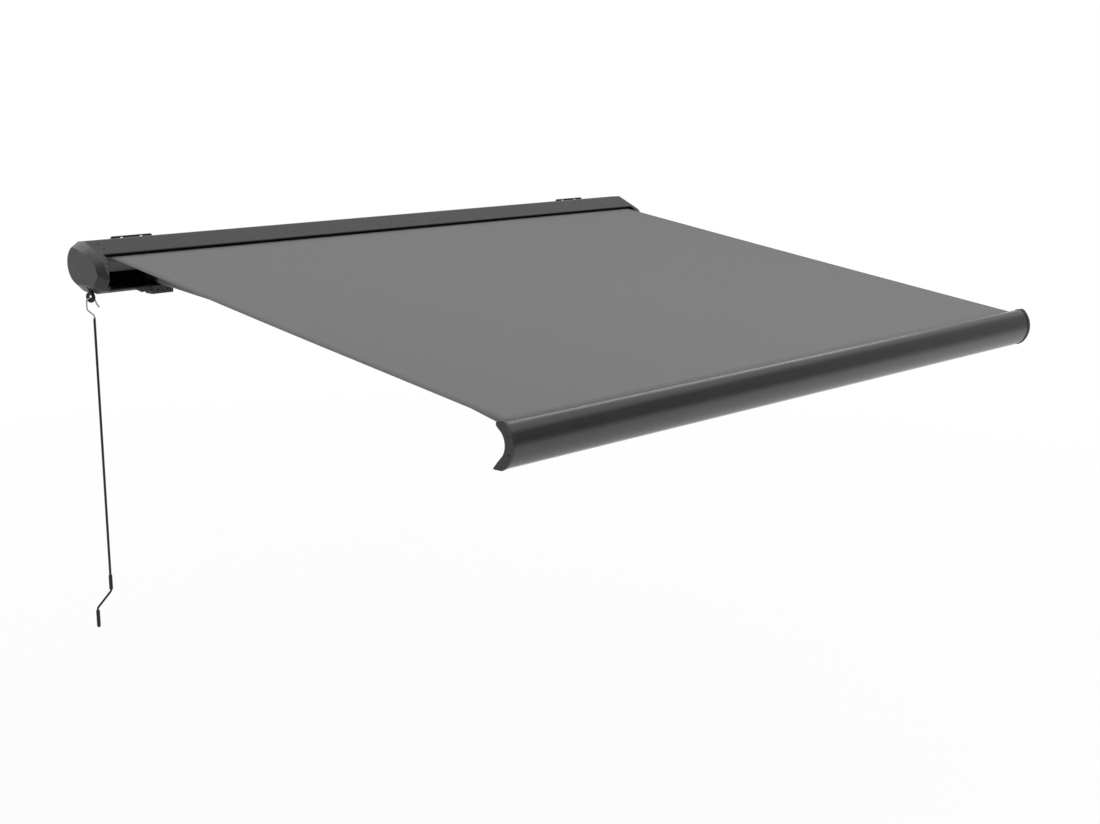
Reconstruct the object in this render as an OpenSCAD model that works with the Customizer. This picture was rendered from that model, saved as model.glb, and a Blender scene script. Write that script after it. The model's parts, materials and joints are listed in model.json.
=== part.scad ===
// Cassette awning with folding arms, let out, with its hooked crank
// Row frame: +Z up, wall plane at Y 0, front toward -Y, origin at the centre of the wall bolt pattern
// Cassette sections are drawn in slot coordinates: y back from the fabric slot, z up from it

/* [Overall] */
// outer faces of the two end covers, overall width
overall_w = 3200; // [2400:10:4500]
// slot line above the centre of the wall bolts
slot_z = 46; // [20:1:80]
// fall of the fabric and of the arms, degrees
pitch = 7.9; // [5:0.1:20]
// slope distance from the slot to the front bar's reference line
bar_reach = 2256; // [1500:1:3000]

/* [Cassette] */
// depth of an end cover
cover_d = 36.5; // [30:0.5:50]
// wall of an end cover
cover_wall = 2.5; // [2:0.1:4]
// straight skirt of an end cover before its bevel
cover_skirt = 4; // [2:0.5:8]
// width of a side plate
side_w = 19; // [15:1:30]
// web of a side plate
side_web = 5; // [3:0.5:8]
// rim thickness of a side plate
side_rim = 4; // [3:0.5:6]
// wall of the extruded back profile
back_wall = 3; // [2:0.1:5]
// radius of the cassette's round back
back_r = 104; // [90:1:120]
// centre of the round back, slot coordinates
back_c = [104, -36];
// diameter of a hood screw's head
hood_screw_d = 8; // [6:0.5:12]
// hood screws in from the ends of the hood
hood_screw_in = 24.5; // [15:0.5:40]
// first hood screw behind the hood's front edge
hood_screw_y = 37; // [20:1:60]
// second hood screw behind the first
hood_screw_dy = 41; // [25:1:60]

/* [Wall brackets] */
// wall bracket centre in from the cassette's end
bracket_in = 307; // [150:1:600]
// width of a wall plate
plate_w = 190; // [120:1:240]
// height of a wall plate
plate_h = 210; // [150:1:260]
// thickness of a wall plate
plate_t = 5; // [4:0.5:8]
// forward depth of the lip on a wall plate's top edge
lip_d = 15; // [8:1:25]
// thickness of that lip
lip_t = 3.5; // [2:0.5:6]
// wall bolt spacing across one plate
bolt_dx = 140; // [80:1:160]
// wall bolt spacing up a plate
bolt_dz = 150; // [80:1:180]
// wall bolt hole diameter
bolt_d = 11; // [8:0.5:14]
// thickness of the saddle and of the floor arm
saddle_t = 5; // [4:0.5:8]
// gap between the cassette's round back and the saddle
saddle_gap = 0.2; // [0.1:0.05:0.5]
// half width of the saddle
saddle_w = 60; // [40:1:80]
// width of the clamp block
clamp_w = 96; // [60:1:120]

/* [Roller and gear] */
// roller axis, slot coordinates
roller_c = [96.5, -27.6];
// outer radius of the roller tube
roller_r = 39; // [30:0.5:45]
// wall of the roller tube
roller_wall = 1.8; // [1:0.1:3]
// outer radius of the turns of fabric left on the roller
roll_r = 40.6; // [39.5:0.1:50]
// fabric thickness
fabric_t = 1.2; // [0.5:0.1:2]
// roller end in from the side plate, gear side
roller_in_l = 26.5; // [22:0.5:40]
// roller end in from the side plate, idler side
roller_in_r = 7.5; // [5:0.5:15]
// fabric edge in from the roller's end, gear side
fabric_in_l = 4.4; // [2:0.1:20]
// fabric edge in from the roller's end, idler side
fabric_in_r = 4.1; // [2:0.1:20]
// plane of the worm and of the crank eye in from the left cover's face
gear_in = 18; // [16:0.5:21]
// worm and crank eye axis behind the slot
worm_y = 51; // [40:0.5:60]
// teeth of the worm wheel
wheel_teeth = 22; // [14:1:30]
// starts of the worm
worm_starts = 2; // [1:1:4]
// module of the wheel
gear_m = 3.1; // [2:0.05:4]
// tooth height above the pitch circle
gear_add = 2.6; // [2:0.1:4]
// tooth depth below the pitch circle
gear_ded = 3.1; // [2:0.1:5]
// part of the pitch filled by a tooth
tooth_share = 0.42; // [0.35:0.01:0.48]
// face width of the wheel
wheel_w = 12; // [8:0.5:18]
// threaded length of the worm
worm_len = 48; // [30:1:60]
// worm shaft radius
worm_shaft_r = 7; // [5:0.5:9]
// width across the flats of the drive hexagon
drive_af = 14; // [10:0.5:20]
// radius of the drive journal
journal_r = 12; // [8:0.5:16]
// idler pin radius
idler_r = 7; // [5:0.5:10]

/* [Crank] */
// centre of the crank eye below the slot
eye_z = -153; // [-180:1:-140]
// outer radius of the crank eye
eye_r = 22.5; // [18:0.5:28]
// radius of the hole in the crank eye
eye_hole_r = 7.3; // [6:0.1:10]
// half thickness of the crank eye
eye_t = 7; // [5:0.5:10]
// radius of the eye's stem where it passes the left cover
stem_r = 11; // [8.6:0.1:12]
// gap round the stem in the cover
stem_gap = 1.5; // [0.5:0.1:2]
// gap round the turning eye in the cover's scoop
scoop_gap = 1.3; // [0.8:0.1:3]
// turn of the eye's hole axis from X
eye_yaw = 17.5; // [-90:0.5:90]
// turn of the hook's plane from X
hook_yaw = -20; // [-90:1:90]
// hook wire radius
wire_r = 3; // [2:0.1:4]
// rod axis beside the eye, in the hook's plane
rod_u = 9.3; // [0:0.1:20]
// length of the ferrule on the rod's top
ferrule_l = 7; // [4:0.5:12]
// rod radius
rod_r = 5; // [4:0.1:8]
// top end of the rod below the slot
rod_top = -241; // [-300:1:-200]
// bottom end of the rod's straight run
rod_low = -1360; // [-1700:1:-1000]
// sideways offset of the lower grip
crank_throw = 58; // [40:1:200]
// height of the slanted run
slant_h = 66; // [30:1:120]
// grip radius
grip_r = 7.5; // [7:0.1:16]
// length of the upper grip
grip_up_l = 62; // [40:1:140]
// length of the lower grip
grip_low_l = 69; // [40:1:140]
// running gap of a grip round the rod
grip_gap = 0.4; // [0.2:0.1:1]

/* [Arms] */
// shoulder and wrist pins in from the middle of a wall bracket
arm_in = 0.3; // [0:0.1:5]
// arm angle from the cassette, let out
phi_out = 84; // [70:0.1:88]
// turn of an arm from let out to shut
fold = 82.1; // [60:0.1:86]
// shoulder pins behind the slot along the slope
shoulder_v = -37; // [-60:1:0]
// wrist pins behind the bar's reference line
wrist_back = 17.3; // [12:0.1:25]
// slack of the let out forearm behind the wrist pin
wrist_slack = 0.2339; // [0:0.0001:0.4]
// arm plane below the fabric plane
arm_drop = 97.3; // [80:0.1:120]
// width of an arm tube
tube_w = 32; // [24:0.5:40]
// height of an arm tube
tube_h = 36; // [28:0.5:44]
// wall of an arm tube
tube_wall = 2.6; // [1.5:0.1:4]
// corner radius of an arm tube
tube_r = 8; // [3:0.5:12]
// elbow pin beside the tube's middle line
elbow_side = 18; // [16:0.5:24]
// pin radius
pin_r = 7; // [5:0.5:10]
// pin head radius
head_r = 11; // [8:0.5:14]
// pin head height
head_h = 2.5; // [1.5:0.1:4]
// thickness of a fork ear
ear_t = 7; // [5:0.5:9]
// gap of a turning knuckle in its fork, each side
side_gap = 0.4; // [0.2:0.05:1]
// running gap of a pin in its knuckle
pin_gap = 0.3; // [0.1:0.05:0.6]
// gap of a plug in its tube, each side
plug_gap = 0.2; // [0.1:0.05:0.5]
// radius of a fork ear round its pin
ear_r = 17; // [14:0.5:22]
// radius of a knuckle round its pin
knuckle_r = 15; // [12:0.5:20]
// knuckle block from its pin
block_x = 42; // [36:1:60]
// length of a knuckle block
block_l = 20; // [12:1:40]
// start of a knuckle's ribs from its pin
rib_x = 35; // [32:0.5:38]
// depth of a knuckle's plug in its tube
plug_l = 45; // [20:1:80]

/* [Front bar] */
// bar extrusion in from the cassette's end, gear side
bar_in_l = 66; // [40:1:120]
// bar extrusion in from the cassette's end, idler side
bar_in_r = 32; // [20:1:120]
// wall of the bar extrusion
bar_wall = 2.3; // [1.8:0.1:4]
// thickness of the left bar cap's plate
left_cap_t = 8; // [4:0.5:16]
// thickness of the right bar cap's plate
right_cap_t = 14; // [4:0.5:16]
// shadow gap between cap and extrusion
cap_gap = 3; // [0.5:0.5:4]
// lip of a bar cap round the extrusion
cap_lip = 2.2; // [1:0.1:3]
// gap of a cap's plugs in the bar's cells
cell_gap = 0.4; // [0.2:0.05:1]
// outer radius of the screw ports in the bar
bar_port_r = 5.5; // [4:0.1:7]
// core hole radius of the bar's screw ports
bar_core_r = 2.2; // [1.5:0.1:3]
// wall of a cap's hollow plugs
plug_wall = 2.2; // [1.5:0.1:3]
// radius of the cap's holes for its two screws
cap_hole_r = 2.6; // [2.2:0.1:3.5]
// depth of a cap's plugs in the extrusion
cap_plug = 14; // [8:1:30]
// welt radius in the bar's groove
welt_r = 3.4; // [2.5:0.1:4]
// place of the fine line along the bar's face, degrees round its arc
line_a = 162.5; // [140:0.5:200]
// radius of the fine line
line_r = 0.8; // [0.4:0.1:1.5]

/* [Screws and clearances] */
// clearance hole of the bolts through clamp, floor and shoulder
foot_hole_d = 6.6; // [5.5:0.1:8]
// clamp bolts beside the middle of a bracket
foot_bolt_x = 22; // [15:1:30]
// clamp bolts behind the slot
foot_bolt_y = 34; // [28:1:40]
// outer radius of a screw port on the profiles
port_r = 5; // [4:0.1:6]
// core hole radius of a screw port
port_hole_r = 2.1; // [1.5:0.1:3]
// screw clearance radius through a side plate
port_screw_r = 2.4; // [2:0.1:3.5]
// radius of an end cover's locating pegs
peg_r = 3.9; // [3:0.1:6]
// gap round a peg
peg_gap = 0.3; // [0.1:0.05:0.6]
// gap of a pin in the ears that hold it
fixed_gap = 0.15; // [0.05:0.05:0.3]
// running gap of the roller's journals and of the worm shaft
journal_gap = 0.3; // [0.1:0.05:0.6]
// gap of a plug in the roller tube
roller_gap = 0.2; // [0.1:0.05:0.5]
// gap of the wheel on its drive hexagon
hex_gap = 0.2; // [0.1:0.05:0.5]
// gap of the welts in their grooves
welt_gap = 0.5; // [0.2:0.1:1]
// gap of a wrist bracket on the bar's inner face
seat_gap = 0.2; // [0.1:0.05:0.5]
// bolt hole radius of the wrist brackets
seat_hole_r = 3.2; // [2.5:0.1:4.5]

/* [Hidden] */
$fn = 48;
eps = 0.01;
cover_x = overall_w / 2;
seam_x = cover_x - cover_d;
inner_x = seam_x - side_w;
bracket_x = cover_x - bracket_in;
arm_x = bracket_x - arm_in;
gear_x = gear_in - cover_x;
roller_x0 = roller_in_l - inner_x;
roller_x1 = inner_x - roller_in_r;
fabric_x0 = roller_x0 + fabric_in_l;
fabric_x1 = roller_x1 - fabric_in_r;
bar_x0 = bar_in_l - cover_x;
bar_x1 = cover_x - bar_in_r;
// slot line back to the wall plane
slot_depth = back_c[0] + back_r + plate_t;
// outer and inner face of the cassette's floor, and the under side of the floor arm
floor_z = back_c[1] - back_r;
floor_in = floor_z + back_wall;
arm_floor = floor_z - saddle_gap - saddle_t;
phi_in = phi_out - fold;
// pin to pin length of an upper arm and of a forearm
wrist_v = bar_reach - wrist_back;
arm_l = (wrist_v - wrist_slack - shoulder_v) / (2 * sin(phi_out));
elbow_dx = arm_l * cos(phi_in);
elbow_df = arm_l * sin(phi_in);
// forward offset of the upper tube from the shoulder pin when shut
tube_side = elbow_df - elbow_side;
tongue_h = tube_h - 2 * ear_t - 2 * side_gap;
slot_h = tube_h - 2 * ear_t;
wheel_r = wheel_teeth * gear_m / 2;
worm_r = roller_c[0] - worm_y - wheel_r;
worm_pitch = PI * gear_m;
worm_lead = worm_pitch * worm_starts;
// lower end of the worm's shaft, just over the crank eye's ring
shaft_low = eye_z + eye_r + 0.3;

// points of an arc, centre c, radius r, from angle a to angle b in n steps
function arc(c, r, a, b, n) = [for (i = [0 : n]) let (t = a + (b - a) * i / n)
    [c[0] + r * cos(t), c[1] + r * sin(t)]];
function unit(v) = v / norm(v);
// an outline drawn counter-clockwise, moved inward by t
function inset(p, t) = let (n = len(p)) [for (i = [0 : n - 1])
    let (u = unit(p[i] - p[(i + n - 1) % n]), w = unit(p[(i + 1) % n] - p[i]))
    let (a = [-u[1], u[0]], b = [-w[1], w[0]])
    p[i] + t * (a + b) / (1 + a * b)];
// rounded rectangle outline, centred
function round_box(w, h, r, n) = concat(
    arc([w / 2 - r, h / 2 - r], r, 0, 90, n), arc([r - w / 2, h / 2 - r], r, 90, 180, n),
    arc([r - w / 2, r - h / 2], r, 180, 270, n), arc([w / 2 - r, r - h / 2], r, 270, 360, n));
function slope_pt(v, w) = [-v * cos(pitch) - w * sin(pitch), -v * sin(pitch) + w * cos(pitch)];

// crest and front edge of the hood
crest = [101, 61];
lip_z = 17;
// cassette outline at the seam, slot coordinates, counter-clockwise
rim = concat([[0, lip_z], [-25, 3], [-46, -20], [-62, -52], [-62, -78], [-48, -102], [-30, -125],
    [14, floor_z + 2], [22, floor_z]], arc(back_c, back_r, -90, 63.7, 26), [crest]);
// flat face of an end cover
face = concat([[-8, -3], [-30, -29], [-42, -55], [-45, -60], [-6, -105], [50, -107], [118, -108]],
    arc([108, -30], 77, -75, 60, 22), [[105, 33]]);

// slot coordinates, section in the YZ plane, drawn from x0 to x1
module along(x0, x1) {
    translate([x0, -slot_depth, slot_z]) rotate([90, 0, 90]) linear_extrude(height = x1 - x0) children();
}
module at_slot(p) {
    translate([p[0], p[1] - slot_depth, p[2] + slot_z]) children();
}
// a pin's own frame: X across, -Y down the slope, Z square to the arm plane
module at_slope(x, v, w) {
    at_slot([x, slope_pt(v, w)[0], slope_pt(v, w)[1]]) rotate([pitch, 0, 0]) children();
}
module mirrored() {
    mirror([1, 0, 0]) children();
}
module tube_x(r, x0, x1) {
    translate([x0, 0, 0]) rotate([0, 90, 0]) cylinder(r = r, h = x1 - x0);
}

// Cassette profiles, with round ports for the side plates' screws
back_ports = [[196, -66], [186, 16.7], [118, -132.5]];
hood_ports = [[60, 35.4], [128, 51.5]];
module screw_port(c, a) {
    translate(c) rotate(a) difference() {
        circle(r = port_r);
        circle(r = port_hole_r);
        translate([0, -port_hole_r / 2]) square([port_r + 1, port_hole_r]);
    }
}
module back_profile() {
    outer = concat([[0, floor_z + 16], [0, floor_z + 10], [14, floor_z + 2], [22, floor_z]],
        arc(back_c, back_r, -90, 60, 30));
    inner = concat(arc(back_c, back_r - back_wall, 60, -90, 30), [[22, floor_in], [15, floor_in + 1.6],
        [3, floor_in + 8.6], [3, floor_in + 10], [9, floor_in + 10], [9, floor_z + 16]]);
    color("dimgray") difference() {
        along(-inner_x, inner_x) {
            polygon(concat(outer, inner));
            for (p = back_ports) screw_port(p, atan2(back_c[1] - p[1], back_c[0] - p[0]));
            translate([88, floor_in]) square([3, 6]);
            translate([198, -38]) square([8, 3]);
        }
        // clamp bolts through the floor
        for (s = [-1, 1], x = [-foot_bolt_x, foot_bolt_x])
            at_slot([s * bracket_x + x, foot_bolt_y, floor_z - 10]) cylinder(d = foot_hole_d, h = 30);
    }
}
module top_hood() {
    top = concat(arc(back_c, back_r, 60.4, 63.7, 2), [crest, [0, lip_z], [0, lip_z - 4]]);
    low = [[5, lip_z - 4], [5, lip_z - 0.6], [101.6, 58.3], [148.6, 54.5]];
    color("dimgray") along(-inner_x, inner_x) {
        polygon(concat(top, low, [[154, 52.6]]));
        for (p = hood_ports) screw_port(p, 270);
        translate([8.6, 12.4]) square([2, 6.4]);
        translate([8.6, 10.4]) square([6, 2]);
    }
}
module slot_brush() {
    color("black") along(-inner_x, inner_x) {
        translate([5.4, 9]) square([3, 6.6]);
        translate([6.2, 3.4]) square([1.4, 5.7]);
    }
}
module hood_screws() {
    slope = atan2(crest[1] - lip_z, crest[0]);
    color("silver") for (s = [-1, 1], y = [hood_screw_y, hood_screw_y + hood_screw_dy])
        at_slot([s * (inner_x - hood_screw_in), y, lip_z + y * tan(slope)]) rotate([slope, 0, 0])
            difference() {
                cylinder(d1 = hood_screw_d, d2 = hood_screw_d - 3, h = 2);
                translate([0, 0, 1]) cylinder(d = 3.4, h = 2, $fn = 6);
            }
}

// Ends of the cassette, drawn for the left and mirrored for the right
module cover_pegs(r) {
    for (p = [[10, -40], [95, -118], [180, -30]]) translate(p) circle(r = r);
}
module side_plate(bore) {
    difference() {
        union() {
            along(-seam_x, side_web - seam_x) polygon(rim);
            along(side_web - seam_x - eps, -inner_x) difference() {
                polygon(rim);
                polygon(inset(rim, side_rim));
                // mouth for the arms and the fabric
                translate([-70, -120]) square([30, 133]);
            }
            along(side_web - seam_x - eps, 9 - seam_x) {
                translate([-40, -58]) square([225, 4]);
                translate([28, -132]) square([4, 150]);
                translate(roller_c) circle(r = bore + 9);
            }
        }
        along(-cover_x, -inner_x + 1) {
            translate(roller_c) circle(r = bore);
            cover_pegs(peg_r + peg_gap);
            for (p = concat(back_ports, hood_ports)) translate(p) circle(r = port_screw_r);
            // lightening holes
            translate([-20, -90]) circle(r = 14);
            translate([70, -92]) circle(r = 18);
            translate([150, -92]) circle(r = 16);
        }
    }
}
module left_side_plate() {
    color("dimgray") side_plate(16);
}
module right_side_plate() {
    color("dimgray") mirrored() side_plate(idler_r + fixed_gap);
}
module end_cover() {
    module shell(t) {
        hull() {
            along(-seam_x - cover_skirt, -seam_x) polygon(inset(rim, t));
            along(t - cover_x, t + 0.5 - cover_x) polygon(inset(face, t));
        }
    }
    difference() {
        shell(0);
        difference() {
            shell(cover_wall);
            along(-cover_x, -seam_x) cover_pegs(2 * peg_r);
        }
        along(-seam_x - 0.2, -seam_x + 1) polygon(inset(rim, cover_wall));
        children();
    }
    along(-seam_x - 1, 4 - seam_x) cover_pegs(peg_r);
}
module left_end_cover() {
    color("gray") end_cover() {
        at_slot([gear_x, worm_y, eye_z - eye_r / 2]) cylinder(r = stem_r + stem_gap, h = 60);
        // scoop in which the eye turns
        at_slot([gear_x, worm_y, eye_z]) sphere(r = eye_r + scoop_gap);
    }
}
module right_end_cover() {
    color("gray") mirrored() end_cover();
}

// Wall brackets and clamps, drawn for the left
module wall_bracket() {
    cx = -bracket_x;
    color("gray") difference() {
        union() {
            translate([cx, 0, 0]) rotate([90, 0, 0]) linear_extrude(height = plate_t)
                polygon(round_box(plate_w, plate_h, 8, 6));
            translate([cx - plate_w / 2 + 8, -lip_d, plate_h / 2 - lip_t]) cube([plate_w - 16, lip_d, lip_t]);
            along(cx - saddle_w, cx + saddle_w) {
                polygon(concat(arc(back_c, back_r + saddle_gap, -90, 48, 24),
                    arc(back_c, back_r + saddle_gap + saddle_t, 48, -90, 24)));
                translate([14, arm_floor]) square([back_c[0] - 14 + eps, saddle_t]);
            }
            for (dx = [-52, 0, 46]) along(cx + dx, cx + dx + 6) difference() {
                translate([120, arm_floor + 0.2]) square([slot_depth - plate_t + 1 - 120, 186]);
                translate(back_c) circle(r = back_r + 2, $fn = 96);
                translate([0, -36]) square([150, 200]);
            }
        }
        // wall bolt holes and the two oblong holes under the lip
        for (x = [-1, 1], z = [-1, 1])
            translate([cx + x * bolt_dx / 2, 1, z * bolt_dz / 2]) rotate([90, 0, 0])
                cylinder(d = bolt_d, h = plate_t + 2);
        for (x = [-45, 45]) translate([cx + x - 7, -plate_t - 1, plate_h / 2 - lip_t - 8])
            cube([14, plate_t + 2, 6]);
        // floor arm screws
        for (x = [-foot_bolt_x, foot_bolt_x])
            at_slot([cx + x, foot_bolt_y, arm_floor - 5]) cylinder(d = foot_hole_d, h = 12);
    }
}
module left_wall_bracket() {
    wall_bracket();
}
module right_wall_bracket() {
    mirrored() wall_bracket();
}
clamp_top = floor_z + 14;
clamp_low = floor_z - 20;
clamp_floor = arm_floor - 0.1;
clamp_bolt_z = floor_z - 3;
module clamp_block() {
    cx = -bracket_x;
    color("dimgray") difference() {
        union() {
            along(cx - clamp_w / 2, cx + clamp_w / 2) polygon([[-9, clamp_top], [-9, clamp_low + 3],
                [-6, clamp_low], [44, clamp_low], [44, clamp_floor], [14, clamp_floor],
                [13, floor_z + 1], [-0.3, floor_z + 9], [-0.3, clamp_top]]);
            // recessed part and sloping ear on the outer side
            along(cx - clamp_w / 2 - 44, cx - clamp_w / 2 + eps) polygon([[-4, floor_z + 11], [-4, floor_z - 7],
                [10, floor_z - 7], [10, floor_z + 2.4], [-0.3, floor_z + 8.4], [-0.3, floor_z + 11]]);
            translate([cx - clamp_w / 2 - 44, -slot_depth - 6, slot_z]) rotate([90, 0, 180])
                linear_extrude(height = 5.5) polygon([[0, clamp_top], [34, clamp_top - 2], [30, clamp_top - 7],
                    [0, clamp_top - 22]]);
        }
        for (x = [-foot_bolt_x, foot_bolt_x]) {
            at_slot([cx + x, 1, clamp_bolt_z]) rotate([90, 0, 0]) cylinder(d = 10, h = 12);
            at_slot([cx + x, foot_bolt_y, clamp_low - 2]) cylinder(d = foot_hole_d, h = 20);
        }
        at_slot([cx, 1, clamp_bolt_z - 4]) rotate([90, 0, 0]) cylinder(d = 6, h = 12);
        // hollow under side
        at_slot([cx - 14, 4, clamp_low - 1]) cube([28, 34, 11]);
    }
}
module left_clamp_block() {
    clamp_block();
}
module right_clamp_block() {
    mirrored() clamp_block();
}
module clamp_screws() {
    module one(cx) {
        for (x = [-foot_bolt_x, foot_bolt_x]) {
            at_slot([cx + x, -3.4, clamp_bolt_z]) rotate([90, 0, 0]) difference() {
                cylinder(d = 9.4, h = 4.6);
                translate([0, 0, 2]) cylinder(d = 5.4, h = 4, $fn = 6);
            }
            at_slot([cx + x, -3.4 - eps, clamp_bolt_z]) rotate([-90, 0, 0]) cylinder(d = 9.4, h = 2.6);
            at_slot([cx + x, foot_bolt_y, clamp_low - 4.4]) {
                cylinder(d = 11, h = 4.4 - 0.05);
                cylinder(d = 6, h = 32);
            }
        }
    }
    color("silver") {
        one(-bracket_x);
        mirrored() one(-bracket_x);
    }
}

// Shoulder, drawn for the left in the pin's frame
module pin() {
    cylinder(r = pin_r, h = tube_h, center = true);
    for (s = [-1, 1]) scale([1, 1, s]) translate([0, 0, tube_h / 2]) difference() {
        cylinder(r1 = head_r, r2 = head_r - 1, h = head_h);
        translate([0, 0, 1]) cylinder(r = 4, h = head_h);
    }
}
module left_shoulder_pin() {
    color("silver") at_slope(-arm_x, shoulder_v, -arm_drop) pin();
}
module right_shoulder_pin() {
    mirrored() left_shoulder_pin();
}
module shoulder_bracket() {
    foot_y = [24, 86];
    color("gray") difference() {
        union() {
            at_slope(-arm_x, shoulder_v, -arm_drop) difference() {
                linear_extrude(height = tube_h, center = true) {
                    circle(r = ear_r);
                    polygon([[-ear_r, 0], [ear_r, 0], [26, 20], [26, 31], [-26, 31], [-26, 20]]);
                }
                linear_extrude(height = slot_h, center = true) {
                    circle(r = ear_r + 1.5);
                    translate([-40, -30]) square([80, 30]);
                    translate([-ear_r - 1.5, 0]) square([2 * ear_r + 3, 8]);
                }
            }
            // pillar and foot on the cassette floor
            at_slot([-arm_x - 26, 67, floor_in]) cube([52, 14, 60]);
            at_slot([-arm_x - 40, foot_y[0], floor_in]) cube([80, foot_y[1] - foot_y[0], 6]);
            for (x = [-24, 18]) at_slot([-arm_x + x, 40, floor_in + 5]) rotate([90, 0, 90])
                linear_extrude(height = 6) polygon([[0, 0], [28, 0], [28, 22], [20, 22]]);
        }
        at_slope(-arm_x, shoulder_v, -arm_drop)
            cylinder(r = pin_r + fixed_gap, h = tube_h + 1, center = true);
        // foot screws, shared with the clamp, and clearance for the roller
        for (x = [-foot_bolt_x, foot_bolt_x])
            at_slot([-bracket_x + x, foot_bolt_y, floor_z]) cylinder(d = foot_hole_d, h = 12);
        at_slot([-arm_x, roller_c[0], roller_c[1]]) tube_x(roll_r + 2.4, -60, 60);
        at_slot([-arm_x - 14, 66, floor_in + 11]) cube([28, 20, 20]);
    }
}
module left_shoulder_bracket() {
    shoulder_bracket();
}
module right_shoulder_bracket() {
    mirrored() shoulder_bracket();
}

// Gear, roller and drive
module gear_housing() {
    upper_z = [-1.5, 8.5];
    lower_z = [-66, -54];
    posts = [[40, -88], [130, -52], [126, -4]];
    color("gray") difference() {
        union() {
            along(-seam_x - 3, -seam_x) polygon([[30, -96], [84, -96], [136, -60], [136, 0], [112, 18],
                [34, 10], [30, 4]]);
            for (z = [upper_z, lower_z]) translate([gear_x - 11, worm_y - 11 - slot_depth, z[0] + slot_z])
                cube([-seam_x - gear_x + 11, 22, z[1] - z[0]]);
            // gussets under the lower bearing, either side of the shaft
            for (y = [worm_y - 8.5, worm_y + 11]) at_slot([0, y, lower_z[0]]) rotate([90, 0, 0])
                linear_extrude(height = 2.5) polygon([[gear_x - 9, 0.1], [-seam_x - 2, -18], [-seam_x - 2, 0.1]]);
            along(-seam_x - 9, -seam_x - 3 + eps) for (p = posts) translate(p) circle(r = 4.5);
        }
        at_slot([gear_x, worm_y, -100]) cylinder(r = worm_shaft_r + journal_gap, h = 120);
        along(-cover_x, -inner_x) translate(roller_c) circle(r = 16);
        along(-cover_x, -inner_x) for (p = posts) translate(p) circle(r = 2);
    }
}
module drive_bush() {
    color("black") difference() {
        union() {
            at_slot([0, roller_c[0], roller_c[1]]) tube_x(15.9, -seam_x - 3, 9 - seam_x);
            at_slot([0, roller_c[0], roller_c[1]]) tube_x(20, 9 - seam_x, 11 - seam_x);
        }
        at_slot([0, roller_c[0], roller_c[1]]) tube_x(journal_r + journal_gap, -seam_x - 5, 15 - seam_x);
    }
}
module idler_pin() {
    color("silver") at_slot([0, roller_c[0], roller_c[1]]) {
        tube_x(idler_r, roller_x1 - 15, seam_x + 3);
        tube_x(12, seam_x, seam_x + 4);
    }
}
module roller_tube() {
    color("silver") along(roller_x0, roller_x1) translate(roller_c) difference() {
        circle(r = roller_r, $fn = 96);
        difference() {
            circle(r = roller_r - roller_wall, $fn = 96);
            // inward folded welt groove
            rotate(200) translate([roller_r - 11, -5]) square([12, 10]);
        }
        rotate(200) translate([roller_r - 5.6, 0]) circle(r = 3.4);
        rotate(200) translate([roller_r - 5, -1.2]) square([8, 2.4]);
    }
}
module plug_body(w) {
    difference() {
        circle(r = roller_r - roller_wall - roller_gap, $fn = 96);
        rotate(200) translate([roller_r - 11.4, -5.5]) square([14, 11]);
        for (a = [0 : 45 : 315]) rotate(a) translate([23, 0]) circle(r = w);
    }
}
module drive_plug() {
    color("gray") {
        along(roller_x0, roller_x0 + 30) translate(roller_c) plug_body(6);
        along(roller_x0 - 4, roller_x0 + eps) translate(roller_c) circle(r = roller_r - 1);
        at_slot([0, roller_c[0], roller_c[1]]) {
            tube_x(journal_r, -seam_x - 4, roller_x0 - 4 + eps);
            translate([-cover_x + 6, 0, 0]) rotate([0, 90, 0])
                cylinder(d = drive_af / cos(30), h = cover_d - 10 + eps, $fn = 6);
        }
    }
}
module idler_plug() {
    color("gray") difference() {
        union() {
            along(roller_x1 - 30, roller_x1) translate(roller_c) plug_body(5);
            along(roller_x1 - eps, roller_x1 + 3) translate(roller_c) circle(r = roller_r - 1);
        }
        at_slot([0, roller_c[0], roller_c[1]]) tube_x(idler_r + journal_gap, roller_x1 - 40, roller_x1 + 10);
    }
}
module worm_wheel() {
    tw = worm_pitch * tooth_share / 2;
    rise = worm_lead / (2 * PI * worm_r);
    twist = -wheel_w * rise / wheel_r * 180 / PI;
    module tooth() {
        polygon([[wheel_r - gear_ded - 1, -tw - 1.3], [wheel_r - gear_ded, -tw - 1.1], [wheel_r, -tw],
            [wheel_r + gear_add, -tw + 0.95], [wheel_r + gear_add, tw - 0.95], [wheel_r, tw],
            [wheel_r - gear_ded, tw + 1.1], [wheel_r - gear_ded - 1, tw + 1.3]]);
    }
    color("goldenrod") at_slot([gear_x - wheel_w / 2, roller_c[0], roller_c[1]]) {
        rotate([90, 0, 90]) difference() {
            linear_extrude(height = wheel_w, twist = twist, slices = 2, segments = 1) rotate(180 + twist / 2)
                for (i = [0 : wheel_teeth - 1]) rotate((i + 0.5) * 360 / wheel_teeth) tooth();
            translate([0, 0, -1]) cylinder(r = wheel_r - gear_ded - 0.5, h = wheel_w + 2);
        }
        difference() {
            union() {
                tube_x(wheel_r - gear_ded - 0.4, 0, wheel_w);
                tube_x(15, -4, wheel_w + 2.5);
            }
            tube_x(drive_af / sqrt(3) + hex_gap, -6, wheel_w + 4, $fn = 6);
            for (a = [30 : 60 : 330]) rotate([a, 0, 0]) translate([0, 0, 22.5]) tube_x(4.5, -1, wheel_w + 1);
        }
    }
}
module fabric_roll() {
    color("gray") along(fabric_x0, fabric_x1) translate(roller_c) difference() {
        circle(r = roll_r, $fn = 120);
        circle(r = roller_r + 0.05, $fn = 120);
    }
}
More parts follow.
